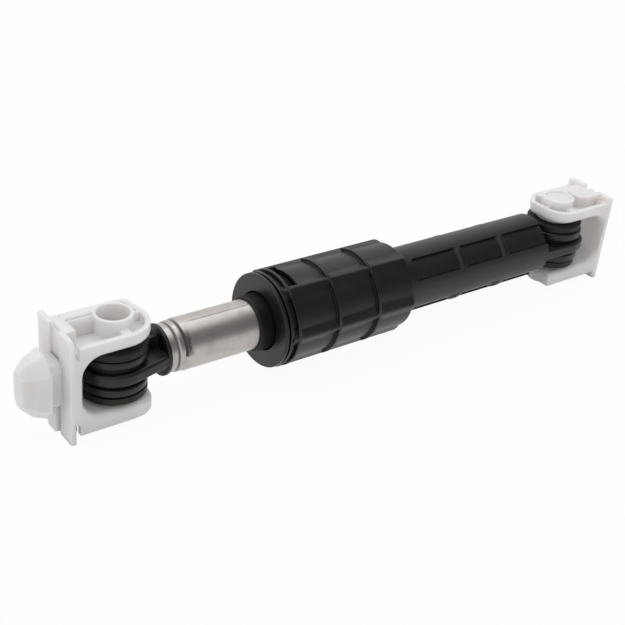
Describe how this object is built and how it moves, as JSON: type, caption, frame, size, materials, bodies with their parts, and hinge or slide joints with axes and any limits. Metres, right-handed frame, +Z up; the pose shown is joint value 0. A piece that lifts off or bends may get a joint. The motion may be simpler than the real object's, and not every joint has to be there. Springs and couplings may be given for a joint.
{
  "type": "shock absorber",
  "caption": "Friction damper for a washing machine: steel plunger sliding in a ribbed black housing, with a rubber bush and a white clevis bracket at each end.",
  "frame": {"origin": "on the surface that the damper lies on, under the middle of its overall length, on the damper's centre line", "axes": "+X along the damper from the rod bracket to the housing bracket, +Z up along the pivot pins, +Y to the left seen from the rod end"},
  "size_m": [0.2876, 0.0386, 0.0418],
  "materials": {
    "black_plastic": "satin black moulding",
    "cap_plastic": "slightly glossy black moulding",
    "carrier_plastic": "dull black moulding",
    "white_plastic": "natural milky white moulding",
    "ring_plastic": "natural low-friction plastic",
    "sleeve_plastic": "smooth dark plastic",
    "steel": "bright rolled steel with light rubbing marks",
    "bush_rubber": "matt black rubber",
    "buffer_rubber": "soft dark rubber",
    "lining_foam": "grease-soaked foam"
  },
  "bodies": {
    "housing": {"housing": "black_plastic", "end_cap": "cap_plastic", "front_buffer": "buffer_rubber", "rear_buffer": "buffer_rubber", "housing_bush": "bush_rubber", "housing_bush_sleeve": "sleeve_plastic"},
    "housing_clevis": {"housing_bracket": "white_plastic"},
    "friction_unit": {"friction_carrier_front": "carrier_plastic", "friction_carrier_rear": "carrier_plastic", "friction_lining_1": "lining_foam", "friction_lining_2": "lining_foam", "friction_lining_3": "lining_foam"},
    "guide": {"guide_ring": "ring_plastic"},
    "plunger": {"plunger_tube": "steel", "plunger_end_plug": "carrier_plastic", "rod_eye": "black_plastic", "rod_bush": "bush_rubber", "rod_bush_sleeve": "sleeve_plastic"},
    "rod_clevis": {"rod_bracket": "white_plastic"}
  },
  "joints": [
    {"name": "free_travel", "type": "slide", "parent": "housing", "child": "friction_unit", "axis": [1, 0, 0], "range_m": [0, 0.014]},
    {"name": "damped_stroke", "type": "slide", "parent": "friction_unit", "child": "guide", "axis": [1, 0, 0], "range_m": [-0.017, 0.032]},
    {"name": "plunger_turn", "type": "hinge", "parent": "guide", "child": "plunger", "pos_m": [0.03635, 0, 0.0209], "axis": [1, 0, 0], "continuous": true},
    {"name": "rod_pivot", "type": "hinge", "parent": "plunger", "child": "rod_clevis", "pos_m": [-0.10765, 0, 0.0209], "axis": [0, 0, 1], "range_deg": [-90, 90]},
    {"name": "housing_pivot", "type": "hinge", "parent": "housing", "child": "housing_clevis", "pos_m": [0.11995, 0, 0.0209], "axis": [0, 0, 1], "range_deg": [-90, 90]}
  ]
}
